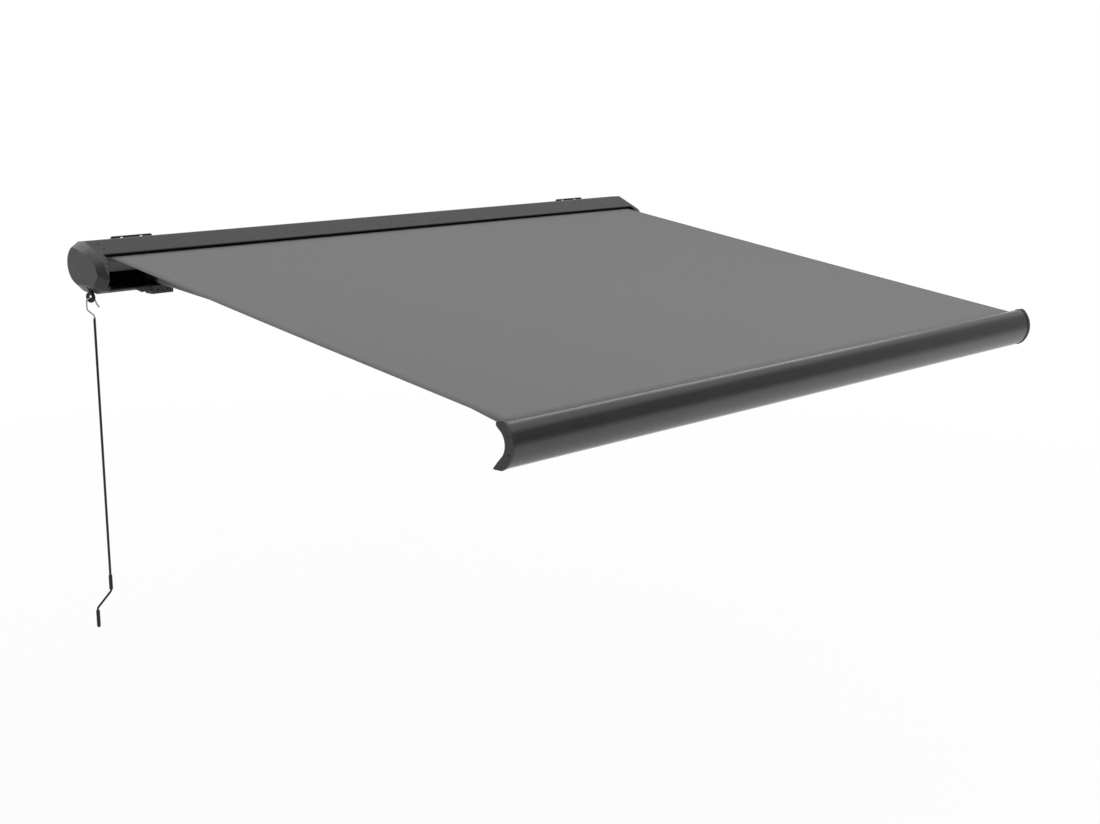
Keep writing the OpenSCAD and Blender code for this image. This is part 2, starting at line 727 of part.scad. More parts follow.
module worm() {
    z0 = roller_c[1] - worm_len / 2;
    tip = worm_r + gear_add;
    root = worm_r - gear_ded;
    half_p = tooth_share * worm_pitch / 2;
    slant = tan(20);
    function half_angle(r) = (half_p - (r - worm_r) * slant) / worm_lead * 360;
    flank = [for (i = [0 : 2]) root + (tip - root) * i / 2];
    module thread() {
        polygon(concat([[0, 0]], [for (r = flank) [r * cos(-half_angle(r)), r * sin(-half_angle(r))]],
            [for (i = [2 : -1 : 0]) let (r = flank[i]) [r * cos(half_angle(r)), r * sin(half_angle(r))]]));
    }
    start = 90 - 360 * (worm_len / 2) / worm_lead;
    color("silver") at_slot([gear_x, worm_y, 0]) {
        translate([0, 0, z0]) linear_extrude(height = worm_len, twist = -360 * worm_len / worm_lead,
            slices = 54, segments = 1) union() {
                circle(r = root + 0.2, $fn = 24);
                for (i = [0 : worm_starts - 1]) rotate(start + i * 360 / worm_starts) thread();
            }
        translate([0, 0, shaft_low]) cylinder(r = worm_shaft_r, h = z0 + 1 - shaft_low);
        translate([0, 0, z0 + worm_len - 1]) cylinder(r = worm_shaft_r, h = 14.5);
        translate([0, 0, -69.5]) cylinder(r = worm_shaft_r + 1.2, h = 3);
    }
}
module crank_eye() {
    mid = (eye_r + eye_hole_r) / 2;
    half = (eye_r - eye_hole_r) / 2;
    color("black") at_slot([gear_x, worm_y, 0]) {
        translate([0, 0, eye_z]) rotate([0, 0, eye_yaw]) rotate([0, 90, 0]) rotate_extrude($fn = 48)
            translate([mid, 0]) polygon([for (i = [0 : 23]) [half * cos(i * 15), eye_t * sin(i * 15)]]);
        difference() {
            translate([0, 0, eye_z + eye_r - 5]) cylinder(r1 = stem_r - 4, r2 = stem_r, h = 18);
            translate([0, 0, shaft_low - 0.1]) cylinder(r = worm_shaft_r + 0.1, h = 30);
            translate([0, 0, eye_z]) rotate([0, 0, eye_yaw]) rotate([0, 90, 0])
                cylinder(r = mid, h = 60, center = true);
        }
    }
}

// Crank, in the plane of its hook
module at_hook() {
    at_slot([gear_x, worm_y, eye_z]) rotate([0, 0, hook_yaw]) children();
}
module crank_hook() {
    // wire line in the hook's plane, from the rod up, over the eye's rim and down to the free end
    path = concat([[rod_u, rod_top - eye_z + wire_r + 0.2], [rod_u, -80]], arc([rod_u - 14, -79.5], 14, 6, 54, 6),
        arc([-1.6, -43], 15.5, 228, 176, 6), [[-16.6, -25]], arc([-3, -19], 14.6, 162, 104, 5),
        [[-1.5, -4.1], [1.5, -4.1]], arc([3, -19], 14.9, 82, 30, 5), [[18.5, -21], [22, -30], [27, -38], [31, -42]]);
    color("silver") at_hook() for (i = [0 : len(path) - 2]) hull() {
        translate([path[i][0], 0, path[i][1]]) sphere(r = wire_r, $fn = 16);
        translate([path[i + 1][0], 0, path[i + 1][1]]) sphere(r = wire_r, $fn = 16);
    }
}
module crank_ferrule() {
    z = rod_top - eye_z;
    color("silver") at_hook() translate([rod_u, 0, z]) difference() {
        cylinder(r1 = 6.2, r2 = 4.4, h = ferrule_l);
        translate([0, 0, -1]) cylinder(r = wire_r + fixed_gap, h = ferrule_l + 2);
    }
}
low_axis = rod_u - crank_throw;
module crank_rod() {
    top = rod_top - eye_z;
    low = rod_low - eye_z;
    ang = atan2(slant_h, crank_throw);
    bend_r = 14;
    thin = rod_r - 0.6;
    // straight cut off each run by its bend, from the mitre formula
    cut = bend_r * tan((90 - ang) / 2);
    len = norm([crank_throw, slant_h]) - 2 * cut;
    module bend() {
        rotate([0, 0, -2]) rotate_extrude(angle = 94 - ang) translate([bend_r, 0]) circle(r = thin - 0.03);
    }
    color("black") at_hook() {
        translate([rod_u, 0, low + grip_up_l]) cylinder(r = rod_r, h = top - low - grip_up_l);
        translate([rod_u, 0, low]) cylinder(r = thin, h = grip_up_l + 1);
        translate([rod_u - bend_r, 0, low]) rotate([-90, 0, 0]) bend();
        translate([rod_u, 0, low - cut]) rotate([0, 90 - ang, 0]) translate([0, 0, -cut - len])
            cylinder(r = thin, h = len);
        translate([low_axis + bend_r, 0, low - slant_h - 2 * cut]) rotate([90, 0, 180]) bend();
        translate([low_axis, 0, low - slant_h - 2 * cut - grip_low_l - 4])
            cylinder(r = thin, h = grip_low_l + 4);
        // end cap
        translate([low_axis, 0, low - slant_h - 2 * cut - grip_low_l - 7]) cylinder(r1 = 5.5, r2 = 7, h = 3);
    }
}
module grip(l) {
    difference() {
        union() {
            translate([0, 0, 2]) cylinder(r = grip_r, h = l - 4);
            cylinder(r1 = grip_r - 1.2, r2 = grip_r, h = 2);
            translate([0, 0, l - 2]) cylinder(r1 = grip_r, r2 = grip_r - 1.2, h = 2);
        }
        translate([0, 0, -1]) cylinder(r = rod_r - 0.6 + grip_gap, h = l + 2);
    }
}
module upper_grip() {
    color("dimgray") at_hook() translate([rod_u, 0, rod_low - eye_z + 0.4]) grip(grip_up_l - 0.8);
}
module lower_grip() {
    cut = 14 * tan((90 - atan2(slant_h, crank_throw)) / 2);
    color("dimgray") at_hook()
        translate([low_axis, 0, rod_low - eye_z - slant_h - 2 * cut - grip_low_l - 3.6]) grip(grip_low_l - 0.6);
}

// Arms. Each is drawn shut, then turned to the let out place: x across, y minus the distance forward
module upper_frame() {
    at_slope(-arm_x, shoulder_v, -arm_drop) rotate([0, 0, -fold]) children();
}
module fore_frame() {
    at_slope(-arm_x + arm_l * cos(phi_out), shoulder_v + arm_l * sin(phi_out), -arm_drop)
        rotate([0, 0, fold]) children();
}
module arm_tube(x0, x1) {
    translate([x0, 0, 0]) rotate([90, 0, 90]) linear_extrude(height = x1 - x0) difference() {
        polygon(round_box(tube_w, tube_h, tube_r, 6));
        polygon(round_box(tube_w - 2 * tube_wall, tube_h - 2 * tube_wall, tube_r - tube_wall, 6));
    }
}
module arm_plug(x0, x1) {
    w = tube_w - 2 * tube_wall - 2 * plug_gap;
    h = tube_h - 2 * tube_wall - 2 * plug_gap;
    translate([x0, 0, 0]) rotate([90, 0, 90]) linear_extrude(height = x1 - x0) difference() {
        polygon(round_box(w, h, tube_r - tube_wall - plug_gap, 6));
        polygon(round_box(w - 9, h - 9, 3, 4));
    }
}
module arm_block(x0, x1) {
    translate([x0, 0, 0]) rotate([90, 0, 90]) linear_extrude(height = x1 - x0)
        polygon(round_box(tube_w, tube_h, tube_r, 6));
}
// one eye knuckle: pin at the origin, tube line at -side, tube toward +x
module knuckle(side) {
    difference() {
        union() {
            linear_extrude(height = tongue_h, center = true) {
                circle(r = knuckle_r);
                polygon([[0, 0], [block_x + 1, tube_w / 2 - side - 1], [block_x + 1, -side - tube_w / 2 + 1],
                    [-7, -knuckle_r + 2.2]]);
            }
            translate([0, -side, 0]) {
                arm_block(block_x, block_x + block_l);
                arm_plug(block_x + block_l - eps, block_x + block_l + plug_l);
            }
            // stiffening ribs over the neck
            for (s = [-1, 1]) linear_extrude(height = tube_h - 8, center = true)
                polygon([[rib_x, -side * 0.8 + s * 9.5 - 2], [rib_x, -side * 0.8 + s * 9.5 + 2],
                    [block_x + 1, -side + s * 10 + 2], [block_x + 1, -side + s * 10 - 2]]);
        }
        cylinder(r = pin_r + pin_gap, h = tube_h, center = true);
        // lightening pocket through the block
        translate([block_x + block_l / 2, -side, 0]) rotate([90, 0, 0])
            cylinder(r = 6, h = tube_w + 2, center = true);
    }
}
module elbow_fork() {
    // pin at the origin, tube line at +elbow_side in y, tube toward -x
    difference() {
        union() {
            linear_extrude(height = tube_h, center = true) {
                circle(r = ear_r);
                polygon([[-block_x - 1, elbow_side + tube_w / 2 - 1], [-block_x - 1, elbow_side - tube_w / 2 + 1],
                    [-5, -ear_r + 0.8], [2, ear_r - 0.1]]);
            }
            translate([0, elbow_side, 0]) {
                arm_block(-block_x - block_l, -block_x);
                arm_plug(-block_x - block_l - plug_l, -block_x - block_l + eps);
            }
        }
        linear_extrude(height = slot_h, center = true) {
            circle(r = ear_r + 1.5);
            translate([-block_x - 5, -30]) square([90, 33]);
        }
        cylinder(r = pin_r + fixed_gap, h = tube_h + 1, center = true);
        translate([-block_x - block_l / 2, elbow_side, 0]) rotate([90, 0, 0])
            cylinder(r = 6, h = tube_w + 2, center = true);
    }
}
tube_x0 = block_x + block_l;
tube_x1 = elbow_dx - block_x - block_l;
module left_upper_tube() {
    color("silver") upper_frame() translate([0, -tube_side, 0]) arm_tube(tube_x0, tube_x1);
}
module left_shoulder_knuckle() {
    color("gray") upper_frame() knuckle(tube_side);
}
module left_elbow_fork() {
    color("gray") upper_frame() translate([elbow_dx, -elbow_df, 0]) elbow_fork();
}
module left_elbow_pin() {
    color("silver") upper_frame() translate([elbow_dx, -elbow_df, 0]) pin();
}
module left_fore_tube() {
    color("silver") fore_frame() translate([0, -elbow_side, 0]) arm_tube(-tube_x1, -tube_x0);
}
module left_elbow_knuckle() {
    color("gray") fore_frame() mirrored() knuckle(elbow_side);
}
module left_wrist_knuckle() {
    color("gray") fore_frame() translate([-elbow_dx, -elbow_df, 0]) mirror([0, 1, 0]) knuckle(tube_side);
}
module right_upper_tube() {
    mirrored() left_upper_tube();
}
module right_shoulder_knuckle() {
    mirrored() left_shoulder_knuckle();
}
module right_elbow_fork() {
    mirrored() left_elbow_fork();
}
module right_elbow_pin() {
    mirrored() left_elbow_pin();
}
module right_fore_tube() {
    mirrored() left_fore_tube();
}
module right_elbow_knuckle() {
    mirrored() left_elbow_knuckle();
}
module right_wrist_knuckle() {
    mirrored() left_wrist_knuckle();
}

// Front bar, section about its reference line on the fabric plane
bar_oc = [39.5, -61.5];
bar_or = 93.3;
bar_ic = [34.3, -61];
bar_ir = 58.7;
nose_c = [6, 0.5];
nose_r = 7.5;
// section outline, counter-clockwise from the nose's top
bar_outline = concat([[6.9, 8], [-14, 11.9]], arc(bar_oc, bar_or, 130.9, 227.3, 36),
    [[-8.5, -139], [25.7, -140], [26, -138.7], [8.6, -118.3]],
    arc(bar_ic, bar_ir, 215.5, 134.5, 28), [[7.9, -7.9]], arc(nose_c, nose_r, -60, 72, 10));
bar_cells = [
    concat(arc(bar_oc, bar_or - bar_wall, 137, 158, 8), arc(bar_ic, bar_ir + bar_wall, 158, 140, 6)),
    concat(arc(bar_oc, bar_or - bar_wall, 160, 198, 12), arc(bar_ic, bar_ir + bar_wall, 200, 161, 12)),
    concat(arc(bar_oc, bar_or - bar_wall, 200, 224, 8), [[-9, -136.2], [6, -136.6], [-9, -117]],
        arc(bar_ic, bar_ir + bar_wall, 214, 203, 3))];
module at_bar(x0, x1) {
    p = slope_pt(bar_reach, 0);
    translate([x0, p[0] - slot_depth, p[1] + slot_z]) rotate([90, 0, 90])
        linear_extrude(height = x1 - x0) children();
}
bar_ports = [[-38, -32], [-40, -88]];
module front_bar() {
    color("dimgray") at_bar(bar_x0, bar_x1) {
        difference() {
            polygon(bar_outline);
            for (c = bar_cells) polygon(c);
            // groove for the fabric's welt, open to the back
            translate(nose_c) circle(r = welt_r + welt_gap);
            translate(nose_c) translate([0, -1.4]) square([14, 3]);
            translate([-14, -2]) circle(r = 6.5);
            translate(bar_oc + bar_or * [cos(line_a), sin(line_a)]) circle(r = line_r, $fn = 12);
        }
        for (p = bar_ports) translate(p) difference() {
            circle(r = bar_port_r);
            circle(r = bar_core_r);
        }
    }
}
module bar_cap(x, dir, t) {
    a = dir > 0 ? x + cap_gap : x - cap_gap - t;
    g = dir > 0 ? x : x - cap_gap;
    q = dir > 0 ? x - cap_plug : x;
    difference() {
        union() {
            at_bar(a, a + t) offset(delta = cap_lip) polygon(bar_outline);
            at_bar(g, g + cap_gap) offset(delta = -cap_lip) polygon(bar_outline);
            at_bar(q - eps, q + cap_plug + eps) difference() {
                for (c = bar_cells) polygon(inset(c, cell_gap));
                for (c = bar_cells) polygon(inset(c, cell_gap + plug_wall));
                for (p = bar_ports) translate(p) circle(r = bar_port_r + 0.7);
            }
        }
        at_bar(a - 1, a + t + 30) for (p = bar_ports) translate(p) circle(r = cap_hole_r);
    }
}
module left_bar_cap() {
    color("gray") bar_cap(bar_x0, -1, left_cap_t);
}
module right_bar_cap() {
    color("gray") bar_cap(bar_x1, 1, right_cap_t);
}
module bar_welt() {
    color("gray") at_bar(fabric_x0, fabric_x1) translate(nose_c) circle(r = welt_r);
}
module wrist_bracket() {
    p = slope_pt(bar_reach, 0);
    color("gray") difference() {
        intersection() {
            union() {
                at_slope(-arm_x, wrist_v, -arm_drop) difference() {
                    linear_extrude(height = tube_h, center = true) {
                        circle(r = ear_r);
                        polygon([[-ear_r, 0], [-26, -20], [-26, -60], [26, -60], [26, -20], [ear_r, 0]]);
                    }
                    linear_extrude(height = slot_h, center = true) {
                        circle(r = ear_r + 1.5);
                        translate([-40, -8]) square([80, 40]);
                    }
                }
                // curved seat plate on the bar's inner face
                at_bar(-arm_x - 38, -arm_x + 38) difference() {
                    polygon(concat([bar_ic], arc(bar_ic, bar_ir + 3, 160, 214, 12)));
                    translate(bar_ic) circle(r = bar_ir - 6, $fn = 96);
                }
            }
            at_bar(-arm_x - 60, -arm_x + 60) translate(bar_ic) circle(r = bar_ir - seat_gap, $fn = 128);
        }
        at_slope(-arm_x, wrist_v, -arm_drop) cylinder(r = pin_r + fixed_gap, h = tube_h + 1, center = true);
        at_bar(-arm_x - 60, -arm_x + 60) offset(delta = seat_gap) polygon(bar_outline);
        for (x = [-31, 31]) at_slot([-arm_x + x, p[0] + bar_ic[0], p[1] - 72]) rotate([90, 0, 0])
            cylinder(r = seat_hole_r, h = 80);
    }
}
module left_wrist_bracket() {
    wrist_bracket();
}
module right_wrist_bracket() {
    mirrored() wrist_bracket();
}
module left_wrist_pin() {
    color("silver") at_slope(-arm_x, wrist_v, -arm_drop) pin();
}
module right_wrist_pin() {
    mirrored() left_wrist_pin();
}

// Cloth from the roller's top to the groove of the bar
module fabric() {
    v0 = -(roller_c[0] * cos(pitch) + roller_c[1] * sin(pitch));
    v1 = bar_reach - 16;
    color("gray") at_slope(0, 0, 0) translate([fabric_x0, -v1, 0])
        cube([fabric_x1 - fabric_x0, v1 - v0, fabric_t]);
}

back_profile();
top_hood();
slot_brush();
hood_screws();
left_side_plate();
right_side_plate();
left_end_cover();
right_end_cover();
left_wall_bracket();
right_wall_bracket();
left_clamp_block();
right_clamp_block();
clamp_screws();
left_shoulder_bracket();
right_shoulder_bracket();
left_shoulder_pin();
right_shoulder_pin();
gear_housing();
drive_bush();
idler_pin();
roller_tube();
drive_plug();
idler_plug();
worm_wheel();
fabric_roll();
worm();
crank_eye();
crank_hook();
crank_ferrule();
crank_rod();
upper_grip();
lower_grip();
left_upper_tube();
left_shoulder_knuckle();
left_elbow_fork();
left_elbow_pin();
left_fore_tube();
left_elbow_knuckle();
left_wrist_knuckle();
right_upper_tube();
right_shoulder_knuckle();
right_elbow_fork();
right_elbow_pin();
right_fore_tube();
right_elbow_knuckle();
right_wrist_knuckle();
front_bar();
left_bar_cap();
right_bar_cap();
bar_welt();
left_wrist_bracket();
right_wrist_bracket();
left_wrist_pin();
right_wrist_pin();
fabric();
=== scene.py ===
# %% [markdown]
# # A cassette awning, let out
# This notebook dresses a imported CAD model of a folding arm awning. The hard parts arrive with their exact
# shapes, and Blender gives them cloth, soft edges, finishes, light and a camera. Everything is in metres,
# with Z up, the wall at Y = 0 and the cloth running forward towards -Y.

# %% Load the model
import json
import math
import bmesh
import bpy
from mathutils import Matrix, Vector


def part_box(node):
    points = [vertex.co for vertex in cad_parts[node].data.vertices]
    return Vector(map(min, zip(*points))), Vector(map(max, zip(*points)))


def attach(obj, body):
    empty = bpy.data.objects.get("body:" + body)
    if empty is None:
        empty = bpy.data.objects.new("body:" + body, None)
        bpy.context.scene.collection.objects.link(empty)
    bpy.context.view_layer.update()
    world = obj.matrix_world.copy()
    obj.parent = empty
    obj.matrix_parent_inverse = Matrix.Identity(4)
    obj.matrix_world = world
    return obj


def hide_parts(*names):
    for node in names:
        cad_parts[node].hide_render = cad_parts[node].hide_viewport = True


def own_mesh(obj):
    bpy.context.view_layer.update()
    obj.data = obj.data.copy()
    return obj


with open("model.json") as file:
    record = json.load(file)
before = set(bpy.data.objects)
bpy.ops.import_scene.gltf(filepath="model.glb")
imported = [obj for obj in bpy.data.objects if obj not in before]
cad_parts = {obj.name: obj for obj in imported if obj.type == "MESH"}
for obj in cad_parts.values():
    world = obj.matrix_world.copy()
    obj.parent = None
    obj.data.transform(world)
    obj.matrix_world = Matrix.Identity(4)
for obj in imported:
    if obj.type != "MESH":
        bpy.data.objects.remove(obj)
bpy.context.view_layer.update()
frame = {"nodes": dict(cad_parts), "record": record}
nodes = frame["nodes"]
record = frame["record"]

# %% [markdown]
# ## The slope of the cloth
# The cloth leaves the cassette through a slot and falls gently to the front bar. Every soft piece is
# drawn in that sloping plane. It could be modelled flat and then turned, but a finished piece has to sit
# unturned at the origin, so a small helper turns "so far down the slope, so far above it" into a place in
# the room. The numbers are the same ones that the CAD uses.

# %% Slope helpers
PITCH = math.radians(7.9)
SLOT = Vector((0.0, -0.213, 0.046))
DOWN = Vector((0.0, -math.cos(PITCH), -math.sin(PITCH)))
UP = Vector((0.0, -math.sin(PITCH), math.cos(PITCH)))
BAR_REACH = 2.256
ROLLER_BACK = 0.0965
ROLLER_DROP = 0.0276
ROLLER = SLOT + Vector((0.0, ROLLER_BACK, -ROLLER_DROP))


def on_slope(x, down, above=0.0):
    """Room place of a point on the cloth's plane."""
    return SLOT + Vector((x, 0.0, 0.0)) + DOWN * down + UP * above


start_down = (ROLLER - SLOT).dot(DOWN)
print("cloth leaves the roller", round(start_down, 4), "m down the slope, bar at", BAR_REACH)

# %% [markdown]
# ## Making a piece
# A new piece is a bmesh turned into an object at the origin. It rides on one body of the mechanism.
# Smooth shading with a sharp-edge limit keeps flat faces flat and round ones round.

# %% Piece helpers
PIECE_SHARP = 30.0


def shade(mesh, sharp):
    """Smooth faces, with edges over the sharp angle in degrees marked."""
    for face in mesh.polygons:
        face.use_smooth = True
    mesh.set_sharp_from_angle(angle=math.radians(sharp))


def piece_from(bm, name, body):
    """Object at the origin from a bmesh, on a body."""
    bmesh.ops.recalc_face_normals(bm, faces=bm.faces)
    mesh = bpy.data.meshes.new(name)
    bm.to_mesh(mesh)
    bm.free()
    obj = bpy.data.objects.new(name, mesh)
    bpy.context.scene.collection.objects.link(obj)
    shade(mesh, PIECE_SHARP)
    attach(obj, body)
    return obj


def body_of(node):
    """Name of the moving body that holds a CAD node."""
    bodies = record["behaviour"]["bodies"]
    return next(body for body, members in bodies.items() if node in members)


def slot_of(node):
    """Material slot of a CAD node."""
    return next(part["material_slot"] for part in record["subparts"] if part["node"] == node)


print("the front bar is on body", body_of("front_bar"), "in slot", slot_of("front_bar"))

# %% [markdown]
# ## Building blocks of a finish
# A real surface is never one flat colour. Its clouds, its grain and its uneven gloss all come from noise,
# so four short functions add the nodes for a noise, a range, a mix of two colours and a bump. The noise
# reads Object coordinates, which stay fixed to the piece when it moves.

# %% Node helpers
NOISE_LOW = 0.3
NOISE_HIGH = 0.7


def noise(tree, coords, scale, detail, stretch):
    """Noise texture on the given coordinates, with its grain stretched along the axes."""
    mapping = tree.nodes.new("ShaderNodeMapping")
    mapping.inputs["Scale"].default_value = stretch
    tex = tree.nodes.new("ShaderNodeTexNoise")
    tex.inputs["Scale"].default_value = scale
    tex.inputs["Detail"].default_value = detail
    tree.links.new(coords, mapping.inputs["Vector"])
    tree.links.new(mapping.outputs["Vector"], tex.inputs["Vector"])
    return tex.outputs["Fac"]


def spread(tree, value, low, high):
    """Maps the usual values of a noise on to a range."""
    node = tree.nodes.new("ShaderNodeMapRange")
    node.inputs["From Min"].default_value = NOISE_LOW
    node.inputs["From Max"].default_value = NOISE_HIGH
    node.inputs["To Min"].default_value = low
    node.inputs["To Max"].default_value = high
    tree.links.new(value, node.inputs["Value"])
    return node.outputs["Result"]


def blend_colours(tree, factor, first, second):
    """Mix of two colours."""
    node = tree.nodes.new("ShaderNodeMix")
    node.data_type = "RGBA"
    node.inputs["A"].default_value = (*first, 1.0)
    node.inputs["B"].default_value = (*second, 1.0)
    tree.links.new(factor, node.inputs["Factor"])
    return node.outputs["Result"]


def bumped(tree, height, strength, distance):
    """Normals of a surface with a relief of the given height in metres."""
    node = tree.nodes.new("ShaderNodeBump")
    node.inputs["Strength"].default_value = strength
    node.inputs["Distance"].default_value = distance
    tree.links.new(height, node.inputs["Height"])
    return node.outputs["Normal"]


print("noise values between", NOISE_LOW, "and", NOISE_HIGH, "are spread over each range")

# %% [markdown]
# ## One function for every hard finish
# Powder coat, moulded plastic and zinc differ in their numbers more than in their kind. All have slow
# clouds in the colour, a finer change of gloss and a very fine relief, which is orange peel on a coat and
# grain on a plastic. So one function builds them all round a Principled shader, and each finish gives it
# two colours, a range of roughness and the size of its grain.

# %% Finish helper
CLOUD_DETAIL = 3.0
GLOSS_TO_CLOUD = 9.0
PEEL_DETAIL = 2.0
PEEL_STRENGTH = 0.6
METAL_LEVEL = 0.5
EVEN = (1.0, 1.0, 1.0)


def finish(name, dark, light, rough, metal=0.0, grain=900.0, grain_depth=0.00004, cloud=6.0,
           stretch=EVEN, level=0.3):
    """Principled finish: cloudy colour, uneven gloss, fine grain and a level for its specular part."""
    mat = bpy.data.materials.new(name)
    mat.use_nodes = True
    tree = mat.node_tree
    shader = tree.nodes["Principled BSDF"]
    coords = tree.nodes.new("ShaderNodeTexCoord").outputs["Object"]
    clouds = spread(tree, noise(tree, coords, cloud, CLOUD_DETAIL, stretch), 0.0, 1.0)
    tree.links.new(blend_colours(tree, clouds, dark, light), shader.inputs["Base Color"])
    gloss = noise(tree, coords, cloud * GLOSS_TO_CLOUD, CLOUD_DETAIL, stretch)
    tree.links.new(spread(tree, gloss, *rough), shader.inputs["Roughness"])
    peel = noise(tree, coords, grain, PEEL_DETAIL, stretch)
    tree.links.new(bumped(tree, peel, PEEL_STRENGTH, grain_depth), shader.inputs["Normal"])
    shader.inputs["Metallic"].default_value = metal
    shader.inputs["Specular IOR Level"].default_value = METAL_LEVEL if metal else level
    return mat


print("finishes share a gloss pattern", GLOSS_TO_CLOUD, "times as fine as their clouds")

# %% [markdown]
# ### Coats on aluminium
# Profiles, brackets and arms are aluminium under graphite powder coat, so the shader isn't metallic. The
# long profiles are smooth and satin, and the front bar is a little silkier. Castings have a coarser skin.
# The tubes of the arms are anodised instead, in a light grey with its grain drawn out along their length,
# and the crank's rod is steel under black enamel.

# %% Coats
hood_coat = finish("satin graphite powder coat of the cassette",
                   dark=(0.019, 0.0195, 0.021), light=(0.023, 0.0235, 0.025), rough=(0.4, 0.5))
bar_coat = finish("silkier graphite powder coat of the front bar",
                  dark=(0.011, 0.0113, 0.0125), light=(0.014, 0.0143, 0.0155), rough=(0.18, 0.23),
                  level=0.7)
casting_coat = finish("powder coat over a casting",
                      dark=(0.034, 0.0345, 0.036), light=(0.044, 0.045, 0.047), rough=(0.42, 0.56),
                      grain=500.0, grain_depth=0.00012, level=0.45)
arm_coat = finish("satin powder coat of the arms' forgings",
                  dark=(0.024, 0.0245, 0.026), light=(0.03, 0.031, 0.032), rough=(0.32, 0.42))
tube_satin = finish("satin grey anodised tube",
                    dark=(0.2, 0.202, 0.206), light=(0.24, 0.242, 0.246), rough=(0.4, 0.5),
                    grain=700.0, stretch=(1.0, 0.2, 1.0))
black_enamel = finish("black enamel of the crank",
                      dark=(0.006, 0.006, 0.0065), light=(0.009, 0.009, 0.0095), rough=(0.26, 0.34),
                      level=0.4)
coats = [hood_coat, bar_coat, casting_coat, arm_coat, tube_satin, black_enamel]
print("coats:", [coat.name for coat in coats])

# %% [markdown]
# ### Plastics and the brush
# End covers and caps are moulded plastic with a fine grain, which spreads the highlights along their
# bevels. The grips are rougher and greyer, so that a hand doesn't slip. The brush in the slot is a dense
# black pile. Hair could be grown for it, but it is seen as one dark line, so its noise is drawn out
# across the slot instead.

# %% Plastics
cap_plastic = finish("grained dark plastic of the end caps",
                     dark=(0.022, 0.0225, 0.024), light=(0.027, 0.0275, 0.029), rough=(0.34, 0.42),
                     grain=1600.0, grain_depth=0.00006, level=0.4)
black_plastic = finish("black moulded plastic",
                       dark=(0.007, 0.007, 0.0075), light=(0.011, 0.011, 0.0115), rough=(0.34, 0.46),
                       grain=1400.0, grain_depth=0.00006)
grip_plastic = finish("grey black grip plastic",
                      dark=(0.018, 0.018, 0.019), light=(0.026, 0.026, 0.027), rough=(0.45, 0.6),
                      grain=1400.0, grain_depth=0.00008)
brush_pile = finish("black brush pile",
                    dark=(0.004, 0.004, 0.004), light=(0.007, 0.007, 0.007), rough=(0.8, 0.95),
                    grain=2500.0, grain_depth=0.0006, stretch=(1.0, 0.05, 0.05), level=0.05)
plastics = [cap_plastic, black_plastic, grip_plastic, brush_pile]
print("plastics:", [plastic.name for plastic in plastics])

# %% [markdown]
# ### Bare metals
# Pins and the hook's wire are zinc plated, the roller is galvanised sheet and the worm wheel is cut
# bronze. These are metallic, so the two colours tint the mirror image. The roller's clouds are small and
# crowded, like the crystals that show on galvanised sheet.

# %% Bare metals
bright_zinc = finish("bright zinc on steel",
                     dark=(0.42, 0.42, 0.43), light=(0.56, 0.56, 0.57), rough=(0.22, 0.36),
                     metal=1.0, grain=700.0, grain_depth=0.00003)
zinc_sheet = finish("galvanised sheet of the roller",
                    dark=(0.34, 0.35, 0.36), light=(0.5, 0.51, 0.52), rough=(0.3, 0.5),
                    metal=1.0, cloud=60.0)
gear_bronze = finish("cut bronze",
                     dark=(0.42, 0.27, 0.1), light=(0.5, 0.33, 0.13), rough=(0.3, 0.42), metal=1.0)
hook_wire_zinc = finish("pale zinc on the hook's wire",
                        dark=(0.4, 0.4, 0.41), light=(0.5, 0.5, 0.51), rough=(0.3, 0.42),
                        metal=1.0, grain=700.0, grain_depth=0.00003)
metals = [bright_zinc, zinc_sheet, gear_bronze, hook_wire_zinc]
print("metals:", [metal.name for metal in metals])

# %% [markdown]
# ## Dressing the hard parts
# Every CAD node keeps its shape and takes the finish of its slot, or one of its own where the real piece
# differs from its neighbours. A mesh is never changed here, only its material slots and its shading.

# %% Assign the finishes
NODE_SHARP = 28.0
SLOT_FINISH = {
    "dark_profile": hood_coat, "dark_plastic": cap_plastic, "bracket_metal": casting_coat,
    "arm_metal": arm_coat, "bright_steel": bright_zinc, "galvanised": zinc_sheet,
    "bronze": gear_bronze, "black_metal": black_enamel, "black_plastic": black_plastic,
}
NODE_FINISH = {"upper_grip": grip_plastic, "lower_grip": grip_plastic, "slot_brush": brush_pile,
               "front_bar": bar_coat, "hood_screws": black_enamel}
for side in ("left", "right"):
    NODE_FINISH[side + "_upper_tube"] = tube_satin
    NODE_FINISH[side + "_fore_tube"] = tube_satin


def dress(obj, mat):
    """Puts one material in every slot of an object."""
    if not obj.data.materials:
        obj.data.materials.append(mat)
    for i in range(len(obj.data.materials)):
        obj.data.materials[i] = mat


for name, node in nodes.items():
    mat = NODE_FINISH.get(name) or SLOT_FINISH.get(slot_of(name))
    if mat:
        dress(node, mat)
        shade(node.data, NODE_SHARP)
print("dressed", len(nodes), "nodes")

# %% [markdown]
# ## Soft edges on castings and caps
# A moulded cap or a casting has small radii that catch the light. They could be cut in the CAD, at the
# price of many thin faces. Here a copy of the CAD mesh is merged, its flat triangles are joined into
# whole faces, and a Bevel modifier rounds what is left of its edges.

# %% Rounded copies
MERGE_DIST = 0.00002
FLAT_ANGLE = math.radians(1.0)
BEVEL_ANGLE = math.radians(18.0)


